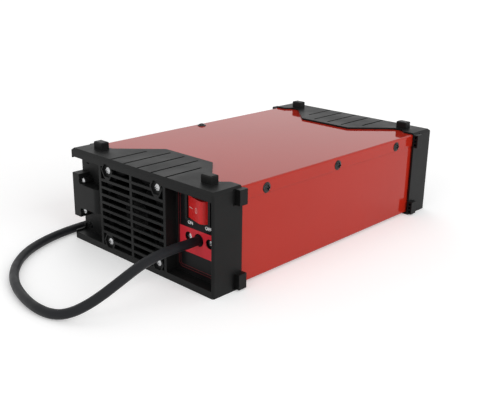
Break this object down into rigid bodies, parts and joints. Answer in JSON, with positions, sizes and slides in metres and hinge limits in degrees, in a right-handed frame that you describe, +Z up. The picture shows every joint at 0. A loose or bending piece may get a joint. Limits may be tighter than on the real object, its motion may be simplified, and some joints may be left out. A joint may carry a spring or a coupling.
{
  "type": "inverter battery charger",
  "caption": "Bench battery charger: red steel housing between black grooved end bezels, with fan grille, cord cleat, rocker switch and mains cord.",
  "frame": {"origin": "on the floor under the middle of the housing, side hooks and both bezels included", "axes": "+X to the right as seen from the mains end, +Y from the mains and fan end to the control end, +Z up"},
  "size_m": [0.3397, 0.4608, 0.1018],
  "materials": {
    "bezel_plastic": "moulded black, light satin",
    "red_paint": "gloss powder coat",
    "coated_sheet": "black-coated sheet",
    "label_film": "printed black film with a red band",
    "bright_screws": "bright zinc",
    "dark_screws": "black oxide",
    "fan_plastic": "black",
    "switch_plastic": "satin black",
    "rocker_red": "glossy translucent red",
    "cord_rubber": "matt black sheath",
    "tie_plastic": "black",
    "panel_film": "black film",
    "window_plastic": "smoked",
    "button_plastic": "dark grey",
    "socket_red": "red",
    "socket_black": "black",
    "board_green": "solder mask",
    "standoff_metal": "turned",
    "sink_aluminium": "extruded",
    "transistor_plastic": "moulded",
    "core_ferrite": "sintered",
    "winding_tape": "taped winding",
    "choke_copper": "enamelled wire",
    "capacitor_sleeve": "shrink sleeve"
  },
  "bodies": {
    "charger": {"rear_bezel": "bezel_plastic", "front_bezel": "bezel_plastic", "top_cover": "red_paint", "bottom_tray": "red_paint", "rear_plate": "coated_sheet", "front_plate": "coated_sheet", "cable_hook": "bezel_plastic", "hook_screws": "bright_screws", "fan_frame": "fan_plastic", "fan_screws": "bright_screws", "inlet_label": "label_film", "inlet_screws": "bright_screws", "switch_body": "switch_plastic", "cord_gland": "cord_rubber", "mains_cord": "cord_rubber", "cord_coil": "cord_rubber", "cord_tie": "tie_plastic", "mains_plug": "cord_rubber", "rear_bezel_screws": "dark_screws", "front_bezel_screws": "dark_screws", "cover_screws": "dark_screws", "front_panel": "panel_film", "display_window": "window_plastic", "display_board": "board_green", "positive_socket": "socket_red", "negative_socket": "socket_black", "circuit_board": "board_green", "board_standoffs": "standoff_metal", "board_screws": "bright_screws", "left_heatsink": "sink_aluminium", "right_heatsink": "sink_aluminium", "power_transistors": "transistor_plastic", "transformer_core": "core_ferrite", "transformer_winding": "winding_tape", "filter_choke": "choke_copper", "bulk_capacitors": "capacitor_sleeve"},
    "rocker": {"switch_rocker": "rocker_red"},
    "fan": {"fan_rotor": "fan_plastic"},
    "mode_key": {"mode_button": "button_plastic"},
    "plus_key": {"plus_button": "button_plastic"},
    "minus_key": {"minus_button": "button_plastic"}
  },
  "joints": [
    {"name": "rocker_pivot", "type": "hinge", "parent": "charger", "child": "rocker", "pos_m": [0.0708, -0.1532, 0.0707], "axis": [0, 0, 1], "range_deg": [0, 24]},
    {"name": "fan_spin", "type": "hinge", "parent": "charger", "child": "fan", "pos_m": [-0.007, -0.152, 0.0472], "axis": [0, 1, 0], "continuous": true},
    {"name": "mode_press", "type": "slide", "parent": "charger", "child": "mode_key", "axis": [0, -1, 0], "range_m": [0, 0.001], "stiffness_N_per_m": 300},
    {"name": "plus_press", "type": "slide", "parent": "charger", "child": "plus_key", "axis": [0, -1, 0], "range_m": [0, 0.001], "stiffness_N_per_m": 300},
    {"name": "minus_press", "type": "slide", "parent": "charger", "child": "minus_key", "axis": [0, -1, 0], "range_m": [0, 0.001], "stiffness_N_per_m": 300}
  ]
}
